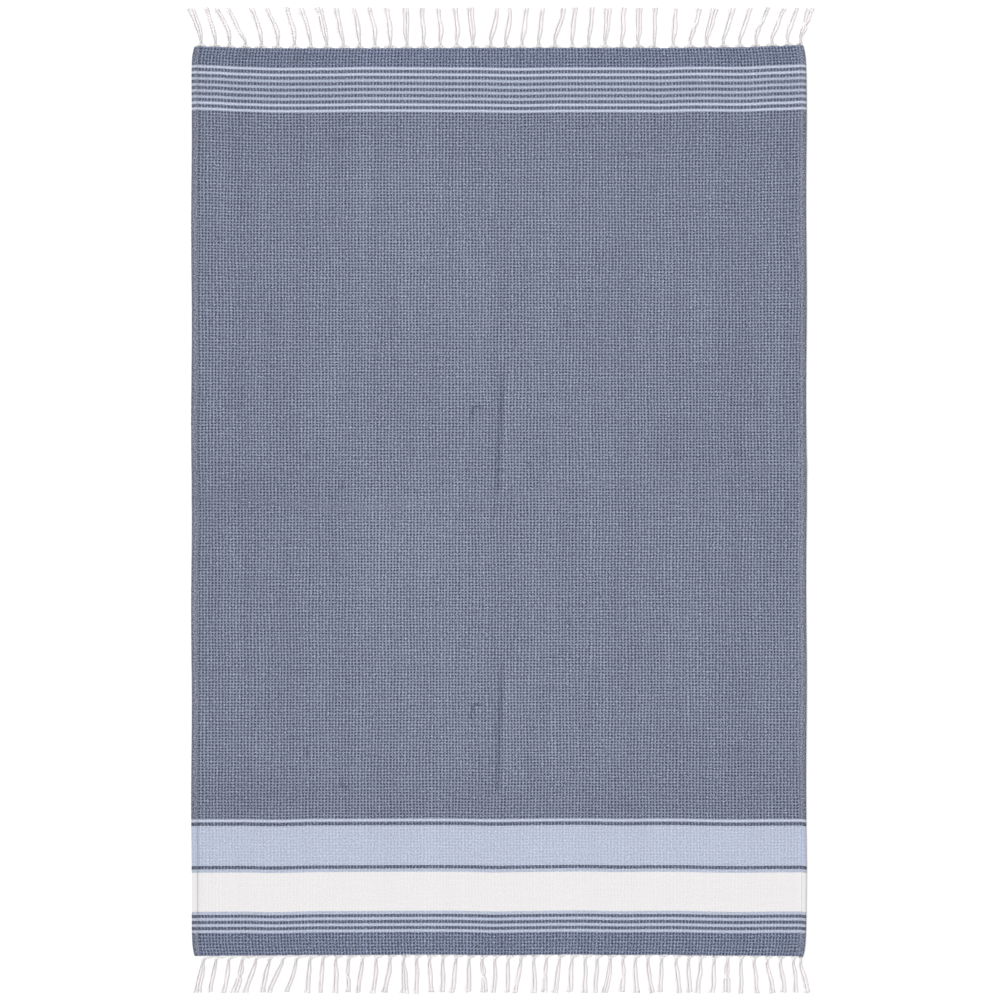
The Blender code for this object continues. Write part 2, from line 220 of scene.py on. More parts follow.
# Warp streaks, lighter or darker: x, half width, gain
STREAKS = (
    (-0.413, 0.012, -0.018), (-0.329, 0.014, -0.016), (-0.234, 0.008, -0.018),
    (-0.218, 0.007, 0.022), (-0.169, 0.009, -0.018), (-0.12, 0.008, 0.018), (-0.063, 0.009, 0.018),
    (0.002, 0.007, -0.022), (0.059, 0.008, 0.02), (0.092, 0.009, 0.02), (0.19, 0.01, -0.018),
    (0.348, 0.01, 0.022), (0.389, 0.014, -0.02), (0.467, 0.011, -0.018),
)
SIDE_TONE = -0.04

# Broad lighter and darker areas: x, y, reach across, reach along, gain
PATCHES = (
    (-0.155, 0.4, 0.09, 0.15, 0.045), (-0.155, -0.065, 0.085, 0.09, 0.055),
    (-0.4, 0.01, 0.13, 0.04, -0.055), (-0.4, -0.475, 0.13, 0.04, -0.045),
    (0.295, 0.09, 0.05, 0.05, -0.045), (0.295, -0.4, 0.05, 0.05, -0.05),
    (0.0, -0.5, 0.8, 0.045, -0.045), (0.0, 0.61, 0.8, 0.045, -0.035),
)

# Small dark slubs: x, y, reach across, reach along, gain; they fade out at SLUB_FADE reaches
SLUB_FADE = 1.4
SLUBS = (
    (-0.036, 0.1545, 0.0105, 0.0034, -0.38), (-0.0425, 0.147, 0.0038, 0.0066, -0.44),
    (-0.045, 0.137, 0.0045, 0.012, -0.2), (-0.036, -0.3305, 0.0105, 0.0034, -0.42),
    (-0.0425, -0.338, 0.0038, 0.0066, -0.46), (-0.045, -0.348, 0.0045, 0.012, -0.2),
    (0.0475, 0.0615, 0.0042, 0.005, -0.2), (0.0475, -0.4195, 0.0042, 0.005, -0.28),
    (0.085, 0.2265, 0.018, 0.0016, -0.32), (0.085, -0.2535, 0.018, 0.0016, -0.32),
    (-0.256, 0.026, 0.006, 0.009, -0.22), (-0.256, -0.46, 0.006, 0.009, -0.22),
    (-0.313, 0.074, 0.007, 0.01, -0.18), (-0.313, -0.41, 0.007, 0.01, -0.18),
    (0.113, 0.29, 0.007, 0.008, -0.16), (0.113, -0.196, 0.007, 0.008, -0.16),
    (0.303, 0.435, 0.006, 0.006, -0.18), (0.303, -0.052, 0.006, 0.006, -0.18),
    (0.39, 0.078, 0.006, 0.009, -0.18), (0.39, -0.405, 0.006, 0.009, -0.18),
)

# How strongly the painted shade and highlight of creases, and the slubs, change red, green and blue
MARK_TINT = (1.0, 0.975, 0.87)

# Painted shade along a pressed crease, and a painted highlight beside it to its right, as light
# from the left falls on its walls
CREASE_PAINTED_SHADE = -0.28
CREASE_HALF_WIDTH = 0.0074
CREASE_PAINTED_HIGHLIGHT = 0.1
CREASE_HIGHLIGHT_AWAY = 0.0115
CREASE_ENDS = (-0.04, 0.3, 0.94, 1.03)
# Painted shade along both side edges, where the hem's fold rounds down
FOLD_EDGE_PAINTED_SHADE = -0.12
FOLD_EDGE_REACH = 0.0022

# Stitching along the hems; its rows: side, in from the edge, tone. The right row's lower tone is
# painted shade: the left row lies in the shadow of the hem's step, the right one in the light
STITCH_ROWS = ((-1, 0.0095, 1.0), (1, 0.0084, 0.5))
STITCH_PITCH = 0.0032
STITCH_LENGTH = 0.0027
STITCH_RADIUS = 0.00026
STITCH_RISE = 0.000265
STITCH_DIP = 0.0007
STITCH_ARCH = 0.6
STITCH_UNEVEN = 0.00012
STITCH_STRAY = 0.00008
STITCH_SKEW = 0.0002
STITCH_RINGS = 6
STITCH_SIDES = 6

# Fringe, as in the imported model; a lock in section: share of its length, half width in a pair,
# half width in a three, height
LOCK_GAP = 0.0006
PARTING_OUT = 0.0132
LOCK_SECTIONS = (
    (0.0, 0.0017, 0.0012, 0.0028), (0.4, 0.0021, 0.0015, 0.003), (0.8, 0.002, 0.0014, 0.0026),
    (1.0, 0.0018, 0.0012, 0.002),
)

# How much tassels vary: measure, least, most
VARIETY = (
    ("root", -0.0003, 0.0003), ("lean", -0.0006, 0.0006), ("bend", 0.85, 1.3),
    ("sway", -0.0014, 0.0014), ("turn", -0.0009, 0.0009), ("spread", 0.0021, 0.0035),
    ("reach", -0.0012, 0.0012),
)
THREE_SPREAD = 2.1

# Tassel number, root x, tip x; tassels between two of these share the difference
TOP_TASSELS = (
    (1, -0.4867, -0.503), (2, -0.4631, -0.4786), (3, -0.4402, -0.4614), (4, -0.4142, -0.4419),
    (5, -0.3881, -0.4044), (6, -0.3612, -0.3799), (7, -0.3343, -0.3457), (8, -0.3082, -0.3237),
    (11, -0.2283, -0.2381), (13, -0.1778, -0.1852), (14, -0.1509, -0.1534), (18, -0.0433, -0.0466),
    (19, -0.0148, -0.0042), (20, 0.0096, 0.0162), (21, 0.0365, 0.0447), (22, 0.0634, 0.0691),
    (23, 0.0903, 0.1042), (24, 0.118, 0.1237), (29, 0.2525, 0.2541), (30, 0.2827, 0.2876),
    (31, 0.3104, 0.325), (32, 0.3373, 0.3495), (33, 0.365, 0.3805), (35, 0.418, 0.4375),
    (36, 0.444, 0.4644), (37, 0.4693, 0.4856), (38, 0.4908, 0.5068),
)
BOTTOM_TASSELS = (
    (1, -0.4834, -0.4932), (3, -0.4419, -0.45), (4, -0.4199, -0.4329), (5, -0.3979, -0.415),
    (6, -0.3759, -0.3873), (7, -0.3539, -0.375), (8, -0.3319, -0.3465), (9, -0.3098, -0.3139),
    (12, -0.2463, -0.2471), (13, -0.2239, -0.2316), (14, -0.2015, -0.2072), (15, -0.179, -0.1884),
    (16, -0.1566, -0.1542), (17, -0.1353, -0.1354), (18, -0.1142, -0.1102), (20, -0.0714, -0.0776),
    (22, -0.0288, -0.0254), (23, -0.0076, -0.0099), (24, 0.0137, 0.0129), (25, 0.0346, 0.0251),
    (26, 0.0556, 0.0553), (28, 0.0973, 0.0895), (30, 0.1392, 0.1384), (31, 0.1588, 0.1572),
    (32, 0.1803, 0.171), (33, 0.2008, 0.1987), (35, 0.2419, 0.2492), (36, 0.2639, 0.2623),
    (37, 0.2876, 0.2933), (39, 0.3275, 0.3234), (42, 0.3935, 0.3927), (43, 0.4149, 0.4204),
    (44, 0.4363, 0.4448), (46, 0.4791, 0.4823), (47, 0.4908, 0.5011),
)

# How far to the side of its tassel the loose warp leaves the cloth: x, share of the pitch
TOP_SWEEP = ((-0.5, 0.0), (0.5, 0.0))
BOTTOM_SWEEP = ((-0.49, 0.75), (-0.33, 0.75), (-0.28, 0.35), (0.5, 0.15))

FRINGES = (
    SimpleNamespace(
        node="fringe_top", piece="towel_fringe_striped_end", way=1, seed=11, reach=0.0652,
        tassels=TOP_TASSELS, threes=(1, 9, 14, 18, 26, 28, 32, 38), twined=(31, 35, 38),
        knot=0.0068, belly=(0.0004, 0.0026), sweep=TOP_SWEEP, bow=1.0
    ),
    SimpleNamespace(
        node="fringe_bottom", piece="towel_fringe_banded_end", way=-1, seed=23, reach=0.061,
        tassels=BOTTOM_TASSELS, threes=(1, 4, 16, 22, 32, 41), twined=(4, 12, 22, 27, 33, 41),
        knot=0.0082, belly=(0.0, 0.0012), sweep=BOTTOM_SWEEP, bow=1.15
    ),
)

# Yarns of a lock
YARN_RADIUS = 0.0005
YARN_SIDES = 5
YARN_VARIETY = (0.9, 1.08)
YARN_SPREAD = (0.86, 1.06)
YARN_WANDER = 0.25
YARN_WAVES = 1.5
CORE_SIDES = 8
CORE_FILL = 0.92
CORE_SPREAD = 0.1
LOCK_YARNS = {2: 8, 3: 6}
LOCK_TURNS = (1.6, 3.0)
LOCK_RINGS = 14
LOCK_NEARNESS = 0.9
LOCK_FILL = (0.4, 0.92)
LOCK_WANDER = 0.0005
BELLY_END = 0.7
NECK_APART = 0.45
SQUEEZE = (0.72, 0.1)
TWINE_TURN = (0.2, 0.65)
TWINE_LIFT = 0.0006
TIP_FLARE = 0.55
TIP_FLARE_START = 0.78
TIP_UNEVEN = 0.0013
TIP_UNEVEN_START = 0.6
TIP_THINNING = 0.25
TIP_THINNING_START = 0.9
TIP_SETTLING = 0.45
TIP_SETTLING_START = 0.7

# Loose warp between the cloth and a knot
ROOT_YARNS = 12
ROOT_SIDES = 4
ROOT_RINGS = 7
ROOT_RADIUS = 0.0006
ROOT_VARIETY = (0.85, 1.1)
ROOT_DEPTH = 0.0014
ROOT_BAND = 0.0044
ROOT_STRAY = 0.0004
ROOT_INSET = 0.006
ROOT_BOW = 1.1
ROOT_GATHER = 0.0011
ROOT_LEVEL = 0.0008
ROOT_UNEVEN = 0.0003
ROOT_CLIMB = 0.0012
ROOT_LIFT = 0.0005

# Yarns wound into a knot
KNOT_YARNS = 3
KNOT_TURNS = 2.15
KNOT_RINGS = 24
KNOT_HALF_LENGTH = 0.0017
KNOT_HALF_WIDTH = 0.0019
KNOT_HALF_HEIGHT = 0.0014
KNOT_SLANT = 0.0009
KNOT_SPACING = 0.00085
KNOT_VARIETY = (0.92, 1.1)
KNOT_TAPER = 0.35
KNOT_YARN_RADIUS = 0.000525

# Map of a strand: its length for one turn of the map, and the size of its end caps
STRAND_SPAN = 0.09
STRAND_START = 0.01
CAP_WIDTH = 0.1
CAP_LENGTH = 0.004

# Painted shade on the yarn, as a tone: in a knot, beside it at the neck, and at the cut tips; the
# loose warp is also painted darker towards the knot
KNOT_PAINTED_SHADE = 0.83
NECK_PAINTED_SHADE = 0.88
NECK_REACH = 0.22
TIP_PAINTED_SHADE = 0.92
TIP_SHADE_START = 0.88

# Twisted yarn
YARN_LOOK = {"colour": (250, 245, 247), "twist": 60.0, "relief": 0.00009, "mottle": 0.03}
THREAD_LOOK = {"colour": (166, 168, 179), "twist": 150.0, "relief": 0.00003, "mottle": 0.05}
STRAND_PLIES = 2.0
# The grooves between the plies are painted darker in step with their relief, as painted shade
STRAND_GAIN = 0.05
STRAND_FIBRE_SIZE = 2600.0
STRAND_FIBRE_RELIEF = 0.6
STRAND_PATCH_SIZE = 120.0

# Sockets of the shaders
CLOTH_FINISH = {
    "Roughness": 0.92, "Specular IOR Level": 0.2, "Sheen Weight": 0.12, "Sheen Roughness": 0.5,
}
STRAND_FINISH = {
    "Roughness": 0.85, "Specular IOR Level": 0.25, "Sheen Weight": 0.3, "Sheen Roughness": 0.5,
    "Subsurface Weight": 0.45, "Subsurface Scale": 0.0012, "Subsurface Radius": (1.0, 1.0, 1.0),
}
FLOOR_FINISH = {"Roughness": 0.9, "Specular IOR Level": 0.1}

# Floor
FLOOR_COLOUR = (0.92, 0.92, 0.92)
FLOOR_SIZE = 160.0
FLOOR_LEVEL = -0.0002
FLOOR_PATCHES = (3.0, 0.004)
FLOOR_GRAIN = (400.0, 0.00002)

# Camera and light
CAMERA_PLACE = (0.0018, 0.0025, 4.528)
CAMERA_LENS = 100.0
CAMERA_SENSOR = 36.0
CAMERA_REACH = 200.0
KEY_STRENGTH = 1.9
KEY_ANGLE = 46.0
KEY_TILT = (-14.0, -39.0, 0.0)
AMBIENT = 0.8


def ease(share):
    """Smooth step from 0 to 1."""
    share = np.clip(share, 0.0, 1.0)
    return share * share * (3.0 - 2.0 * share)


def late(share, start):
    """0 up to a start, then a smooth step to 1 at the end."""
    return ease((share - start) / (1.0 - start))


def read_table(table, place, column=1, smooth=True):
    """Values at places in a table whose rows start with the place, level past its ends."""
    rows = np.array([(row[0], row[column]) for row in table])
    place = np.asarray(place, dtype=float)
    index = np.clip(np.searchsorted(rows[:, 0], place) - 1, 0, len(rows) - 2)
    left, low = rows[index].T
    right, high = rows[index + 1].T
    share = np.clip((place - left.T) / (right - left).T, 0.0, 1.0)
    if smooth:
        share = ease(share)
    return low.T + (high - low).T * share


def swell(distance, reach):
    """Rounded cross-section of a fold: 1 on its line, 0 at its reach."""
    share = np.minimum(distance / reach, 1.0)
    return (1.0 - share * share) ** 2


def distance_to_segment(x, y, start_x, start_y, end_x, end_y):
    """Distance in plan from points to a straight stretch of fold."""
    run_x = end_x - start_x
    run_y = end_y - start_y
    share = ((x - start_x) * run_x + (y - start_y) * run_y) / (run_x**2 + run_y**2)
    share = np.clip(share, 0.0, 1.0)
    return np.hypot(x - start_x - share * run_x, y - start_y - share * run_y)


def relief(x, y):
    """Fine unevenness of the cloth at points in plan."""
    height = np.zeros(x.shape)
    for across, along, tall in RELIEF:
        plane = tall * RELIEF_PLANE
        values = [noise.noise((a / across, b / along, plane)) for a, b in zip(x.flat, y.flat)]
        height += tall * np.clip(0.5 + np.array(values).reshape(x.shape), 0.0, 1.0)
    return height


def cloth_lift(x, y):
    """Height of the cloth's underside, without its fine unevenness."""
    height = np.zeros(x.shape)
    for *ends, reach, fold_height in FOLDS:
        distance = distance_to_segment(x, y, *ends)
        height += fold_height * swell(distance, reach)
    fold_distance = np.abs(y - read_table(CROSS_FOLD, x))
    height += CROSS_FOLD_HEIGHT * swell(fold_distance, CROSS_FOLD_REACH)
    return np.maximum(height, 0.0)


def place_on_cloth(across, along):
    """Plan position of points of the cloth from their stations."""
    pull = CORNER_PULL * np.exp((np.abs(along) - HALF_LENGTH) / CORNER_REACH)
    phase = TURN * along / SIDE_WAVE_PERIOD + np.copysign(SIDE_WAVE_SHIFT, across)
    x = across * (HALF_WIDTH - pull + SIDE_WAVE * np.sin(phase)) / HALF_WIDTH
    reach = np.where(along > 0, read_table(TOP_END, across), -read_table(BOTTOM_END, across))
    return x, along + ease(np.abs(along) / HALF_LENGTH) * reach


def cloth_end(way, x):
    """How far the cloth's end lies from mid length at x."""
    table = TOP_END if way > 0 else BOTTOM_END
    return HALF_LENGTH + float(read_table(table, x))


def linear(colour):
    """Linear value of a colour given in 0 to 255."""
    share = np.asarray(colour, dtype=float) / 255.0
    return np.where(share <= 0.04045, share / 12.92, ((share + 0.055) / 1.055) ** 2.4)


class Graph:
    """Shorthand for wiring the nodes of one material."""

    def __init__(self, name):
        self.material = bpy.data.materials.new(name)
        self.material.use_nodes = True
        self.tree = self.material.node_tree
        self.shader = self.tree.nodes["Principled BSDF"]

    def feed(self, socket, value):
        if isinstance(value, bpy.types.NodeSocket):
            self.tree.links.new(value, socket)
        else:
            socket.default_value = value

    def node(self, kind, inputs, **settings):
        made = self.tree.nodes.new(kind)
        for key, value in settings.items():
            setattr(made, key, value)
        for socket, value in inputs.items():
            self.feed(made.inputs[socket], value)
        return made

    def maths(self, operation, *values):
        made = self.node("ShaderNodeMath", dict(enumerate(values)), operation=operation)
        return made.outputs[0]

    def times(self, product, *factors):
        for factor in factors:
            product = self.maths("MULTIPLY", product, factor)
        return product

    def less(self, value, other):
        return self.maths("SUBTRACT", value, other)

    def ramp(self, value, slope, start):
        return self.maths("MULTIPLY_ADD", value, slope, start)

    def vector(self, operation, *values):
        made = self.node("ShaderNodeVectorMath", dict(enumerate(values)), operation=operation)
        return made.outputs[0]

    def apart(self, vector):
        return self.node("ShaderNodeSeparateXYZ", {0: vector}).outputs

    def together(self, x, y, z=0.0):
        return self.node("ShaderNodeCombineXYZ", {0: x, 1: y, 2: z}).outputs[0]

    def attribute(self, name):
        return self.node("ShaderNodeAttribute", {}, attribute_name=name).outputs

    def uv(self, name):
        return self.node("ShaderNodeUVMap", {}, uv_map=name).outputs[0]

    def length(self, vector):
        made = self.node("ShaderNodeVectorMath", {0: vector}, operation="LENGTH")
        return made.outputs["Value"]

    def luck(self, cell):
        """Chance numbers of a cell: the output Value, and three more in the output Color."""
        made = self.node("ShaderNodeTexWhiteNoise", {"Vector": cell}, noise_dimensions="2D")
        return made.outputs

    def swing(self, share, size):
        """A number that runs from -size to size as a share runs from 0 to 1."""
        return self.ramp(share, 2 * size, -size)

    def step(self, value, start, end, low=0.0, high=1.0):
        """Smooth step of a value from low at start to high at end."""
        inputs = {"Value": value, "From Min": start, "From Max": end, "To Min": low, "To Max": high}
        return self.node("ShaderNodeMapRange", inputs, interpolation_type="SMOOTHSTEP").outputs[0]

    def blend(self, share, first, second):
        """Mix of two numbers."""
        made = self.node("ShaderNodeMix", {0: share, 2: first, 3: second}, data_type="FLOAT")
        return made.outputs[0]

    def tint(self, share, first, second, blend_type="MIX"):
        """Mix of two colours."""
        inputs = {0: share, 6: first, 7: second}
        made = self.node("ShaderNodeMix", inputs, data_type="RGBA", blend_type=blend_type)
        return made.outputs[2]

    def shaded(self, colour, factor):
        """A colour times a number or another colour."""
        return self.tint(1.0, colour, factor, "MULTIPLY")

    def cloud(self, place, size, detail=2.0, roughness=0.5, plane=0.0):
        """Noise from 0 to 1; size is its scale, or its scales across and along one plane."""
        scales = (size,) * 3 if isinstance(size, float) else (*size, 1.0)
        place = self.vector("MULTIPLY_ADD", place, scales, (0.0, 0.0, plane))
        inputs = {"Vector": place, "Scale": 1.0, "Detail": detail, "Roughness": roughness}
        return self.node("ShaderNodeTexNoise", inputs).outputs[0]

    def finish(self, colour, height, **sockets):
        """Wire the colour and the relief in metres to the shader, and set its other sockets."""
        bump = self.node("ShaderNodeBump", {"Strength": 1.0, "Distance": 1.0, "Height": height})
        self.feed(self.shader.inputs["Base Color"], colour)
        self.feed(self.shader.inputs["Normal"], bump.outputs[0])
        for name, value in sockets.items():
            self.shader.inputs[name].default_value = value
        return self.material


def gain(graph, *changes):
    """Product of 1 + size * (noise - 0.5) * 2 for each (noise, size)."""
    return graph.times(*(graph.ramp(cloud, 2 * size, 1.0 - size) for cloud, size in changes))


def crease_painted_light(graph, place, start_x, start_y, end_x, end_y):
    """Painted shade along a crease and a painted highlight to its right: how much darker and
    lighter the cloth is made.
    """
    here = graph.apart(place)
    run = end_y - start_y
    share = graph.ramp(here[1], 1.0 / run, -start_y / run)
    line = graph.ramp(share, end_x - start_x, start_x)
    away = graph.less(here[0], line)
    dark = graph.step(graph.maths("ABSOLUTE", away), 0.0, CREASE_HALF_WIDTH, CREASE_PAINTED_SHADE, 0.0)
    beside = graph.maths("ABSOLUTE", graph.less(away, CREASE_HIGHLIGHT_AWAY))
    light = graph.step(beside, 0.0, CREASE_HALF_WIDTH, CREASE_PAINTED_HIGHLIGHT, 0.0)
    first, full, fade, last = CREASE_ENDS
    within = graph.times(graph.step(share, first, full), graph.step(share, last, fade))
    return graph.times(graph.maths("ADD", dark, light), within)


def slub_change(graph, place, x, y, reach_x, reach_y, size):
    """How much darker the cloth is at a slub."""
    away = graph.vector("SUBTRACT", place, (x, y, 0.0))
    away = graph.vector("MULTIPLY", away, (1.0 / reach_x, 1.0 / reach_y, 0.0))
    return graph.step(graph.length(away), 0.0, SLUB_FADE, size, 0.0)


def marked(graph, colour):
    """The cloth's colour with its slubs, and with the painted shade and highlight of its creases.
    """
    place = graph.node("ShaderNodeTexCoord", {}).outputs["Object"]
    change = 0.0
    for *ends, _, fold_height in FOLDS:
        if fold_height < 0:
            crease = crease_painted_light(graph, place, *ends)
            change = graph.maths("ADD", crease, change)
    for slub in SLUBS:
        change = graph.maths("ADD", slub_change(graph, place, *slub), change)
    factor = graph.vector("MULTIPLY_ADD", change, MARK_TINT, (1.0, 1.0, 1.0))
    return graph.shaded(colour, factor)


def weave_spot(graph, laid):
    """Place in the weave, in cells, with wandering columns and uneven spacing."""
    bend = graph.swing(graph.cloud(laid, BEND_SIZE, detail=0.0), BEND)
    drift_x = graph.swing(graph.cloud(laid, DRIFT_SIZE, detail=1.0), DRIFT)
    drift_y = graph.swing(graph.cloud(laid, DRIFT_SIZE[::-1], detail=1.0), DRIFT)
    return graph.vector("ADD", laid, graph.together(graph.maths("ADD", bend, drift_x), drift_y))


def weave_pits(graph, spot, away, chance, press):
    """How far into a pit a place is, from 0 on the yarns to about 1."""
    knit = graph.apart(graph.attribute("knit")["Vector"])
    slant = graph.swing(graph.apart(chance["Color"])[2], PIT_SLANT)
    lean = graph.ramp(away[1], slant, away[0])
    link = graph.cloud(spot, PIT_STRETCH_SIZE, detail=1.0)
    stretch = graph.maths("ADD", graph.swing(link, PIT_STRETCH), 1.0)
    wide = graph.maths("DIVIDE", lean, graph.times(knit[0], stretch))
    tall = graph.maths("DIVIDE", graph.times(away[1], stretch), knit[1])
    hole = graph.step(graph.length(graph.together(wide, tall)), *PIT_EDGE)
    least, most = PIT_FULLNESS
    full = graph.ramp(chance["Value"], most - least, least)
    full = graph.times(full, graph.ramp(press, PRESS_PITS, 1.0))
    return graph.times(hole, knit[2], full)


def weave_floats(graph, spot, away):
    """The yarns side by side in the floats, and the shade of floats and crossings."""
    fine = graph.apart(graph.vector("MULTIPLY", spot, (TURN * YARNS,) * 3))
    warp, weft = (graph.ramp(graph.maths("SINE", fine[axis]), 0.5, 0.5) for axis in (0, 1))
    size_x, size_y = (graph.maths("ABSOLUTE", distance) for distance in away)
    facing = graph.step(graph.less(size_y, size_x), -YARN_TURN, YARN_TURN)
    yarn = graph.blend(facing, warp, weft)
    above = graph.step(size_y, *FLOAT_EDGE)
    crossing = graph.times(graph.step(size_x, *FLOAT_EDGE), above)
    corner = graph.vector("FLOOR", graph.vector("ADD", spot, (0.5, 0.5, 0.0)))
    speck = graph.times(crossing, graph.luck(corner)["Value"])
    shade = graph.ramp(speck, CROSSING_GAIN, 1.0)
    floats = graph.less(above, crossing)
    return yarn, graph.ramp(floats, FLOAT_GAIN, shade)


def weave_material():
    """Flat weave: a lighter grid of floats round small dark pits, in each row's colours."""
    graph = Graph("towel_weave")
    laid = graph.uv("weave")
    spot = weave_spot(graph, laid)
    chance = graph.luck(graph.vector("FLOOR", spot))
    luck = graph.apart(chance["Color"])
    inside = graph.apart(graph.vector("FRACTION", spot))
    away = []
    for axis in (0, 1):
        middle = graph.maths("ADD", graph.swing(luck[axis], PIT_STRAY), 0.5)
        away.append(graph.less(inside[axis], middle))
    press = graph.attribute("press")["Fac"]
    hole = weave_pits(graph, spot, away, chance, press)
    yarn, shade = weave_floats(graph, spot, away)

    fibre = graph.cloud(spot, FIBRE_SIZE, detail=3.0, roughness=0.65)
    clouds = [
        (graph.cloud(spot, (across, along), detail, plane=plane), size)
        for across, along, plane, detail, size in UNEVENNESS
    ]
    # the yarn term paints the grooves between the yarns darker, as painted shade
    uneven = gain(graph, (yarn, YARN_GAIN), (fibre, FIBRE_GAIN), *clouds)
    thick = graph.step(graph.cloud(spot, THICK_WEFT_SIZE, detail=1.0), *THICK_WEFT)
    # the fold line painted darker: partly offsetting its shallower pits, partly painted shade
    pressed = graph.ramp(press, PRESS_OFFSET_AND_SHADE, 1.0)
    shade = graph.times(shade, uneven, thick, graph.attribute("tone")["Fac"], pressed)
    ridge = graph.attribute("ridge")
    pit = graph.attribute("pit")
    lively = graph.times(graph.less(shade, 1.0), ridge["Alpha"])
    # the edge attribute brings in the painted shade along the side edges
    shade = graph.maths("ADD", lively, graph.attribute("edge")["Fac"])
    across_row = graph.apart(graph.vector("FRACTION", laid))[1]
    side = graph.maths("ABSOLUTE", graph.less(across_row, 0.5))
    sunk = graph.times(graph.step(side, *ROW_SIDE), pit["Alpha"])
    shade = graph.times(shade, graph.less(1.0, sunk))
    colour = graph.tint(hole, ridge["Color"], pit["Color"])
    colour = graph.shaded(colour, shade)
    colour = marked(graph, colour)

    height = graph.times(hole, -PIT_DEPTH)
    height = graph.ramp(yarn, YARN_RELIEF, height)
    height = graph.ramp(fibre, FIBRE_RELIEF, height)
    return graph.finish(colour, height, **CLOTH_FINISH)


def strand_material(name, colour, twist, relief, mottle):
    """Twisted yarn: plies that run round the strand, with loose fibres between them."""
    graph = Graph(name)
    place = graph.apart(graph.uv("strand"))
    plies = graph.times(place[0], STRAND_PLIES)
    turn = graph.ramp(place[1], twist, plies)
    wave = graph.maths("SINE", graph.times(turn, TURN))
    ply = graph.ramp(wave, 0.5, 0.5)
    here = graph.node("ShaderNodeTexCoord", {}).outputs["Object"]
    fibre = graph.cloud(here, STRAND_FIBRE_SIZE, detail=3.0, roughness=0.7)
    patch = graph.cloud(here, STRAND_PATCH_SIZE)
    # the ply term paints the grooves between the plies darker, as painted shade
    shade = gain(graph, (ply, STRAND_GAIN), (fibre, STRAND_GAIN), (patch, mottle))
    shade = graph.times(shade, graph.attribute("tone")["Fac"])
    base = graph.shaded((*linear(colour), 1.0), shade)
    height = graph.times(ply, relief)
    height = graph.ramp(fibre, relief * STRAND_FIBRE_RELIEF, height)
    return graph.finish(base, height, **STRAND_FINISH)


def floor_material():
    """Plain matt studio floor with the faintest unevenness."""
    graph = Graph("studio_floor")
    here = graph.node("ShaderNodeTexCoord", {}).outputs["Object"]
    patch_size, patch_gain = FLOOR_PATCHES
    grain_size, grain_relief = FLOOR_GRAIN
    shade = gain(graph, (graph.cloud(here, patch_size), patch_gain))
    base = graph.shaded((*FLOOR_COLOUR, 1.0), shade)
    height = graph.times(graph.cloud(here, grain_size), grain_relief)
    return graph.finish(base, height, **FLOOR_FINISH)


def add_object(name, data):
    """An object of the scene."""
    item = bpy.data.objects.new(name, data)
    bpy.context.scene.collection.objects.link(item)
    return item


def add_mesh(name, points, faces, material):
    """An object made of points and faces, in one material."""
    mesh = bpy.data.meshes.new(name)
    mesh.from_pydata(points, [], faces)
    mesh.materials.append(material)
    return add_object(name, mesh)


def add_piece(name, points, faces, material):
    """A smooth mesh piece that rides on the towel's one body."""
    item = add_mesh(name, points, faces, material)
    item.data.shade_smooth()
    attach(item, ROOT)
    return item


def add_map(mesh, name, corners):
    """A UV map from one pair of numbers for each corner."""
    layer = mesh.uv_layers.new(name=name, do_init=False)
    layer.data.foreach_set("uv", np.asarray(corners, dtype=np.float32).ravel())


def add_attribute(mesh, name, kind, domain, values):
    """A named attribute of the mesh's points or faces."""
    field = {"FLOAT": "value", "FLOAT_VECTOR": "vector", "FLOAT_COLOR": "color"}[kind]
    layer = mesh.attributes.new(name=name, type=kind, domain=domain)
    layer.data.foreach_set(field, np.asarray(values, dtype=np.float32).ravel())


def weave_stations():
    """Rows of the cloth's grid as weave rows, and its columns as places across."""
    first, last = ROW_PLACES[0][1], ROW_PLACES[-1][1]
    rows = {round(row, 3) for step in END_ROWS for row in (first + step, last - step)}
    rows |= {float(row) for row in range(math.ceil(first), math.floor(last) + 1)}
    hem = np.array([row[0] for row in HEM_SECTION])
    inner = np.linspace(hem[-1] - HALF_WIDTH, HALF_WIDTH - hem[-1], INNER_COLUMNS)
    across = np.concatenate([hem[:-1] - HALF_WIDTH, inner, HALF_WIDTH - hem[-2::-1]])
    return np.array(sorted(rows)), across


def row_wave(across, along):
    """How far a row runs off straight at points of the cloth."""
    end = ease((HALF_LENGTH - np.abs(along)) / WAVE_END)
    shift = np.zeros(across.shape)
    waves = ((1, STRIPE_WAVE, STRIPE_WAVE_START), (-1, BAND_WAVE, BAND_WAVE_START))
    for way, table, (start, full) in waves:
        shift += read_table(table, across) * ease((way * along - start) / (full - start))
    return shift * end


def cloth_tone(inset, x, y):
    """Lighter and darker strips and areas of the cloth."""
    tone = 1.0 + SIDE_TONE * (x / HALF_WIDTH) ** 2
    for place, half_width, size in STREAKS:
        tone += size * np.exp(-(((x - place) / half_width) ** 2))
    for place_x, place_y, reach_x, reach_y, size in PATCHES:
        away = ((x - place_x) / reach_x) ** 2 + ((y - place_y) / reach_y) ** 2
        tone += size * np.exp(-away)
    return tone * (1.0 + HEM_TONE * ease(inset / HEM_WIDTH) * (inset < HEM_WIDTH))


def cloth_press(x, y):
    """Where the cloth was folded and pressed, so that its weave shows less."""
    line = np.exp(-(((y - read_table(CROSS_FOLD, x)) / PRESS_HALF_WIDTH) ** 2))
    middle = np.exp(-(((x - PRESS_MIDDLE) / PRESS_REACH) ** 2))
    return line * (PRESS_LEAST + (1.0 - PRESS_LEAST) * middle)


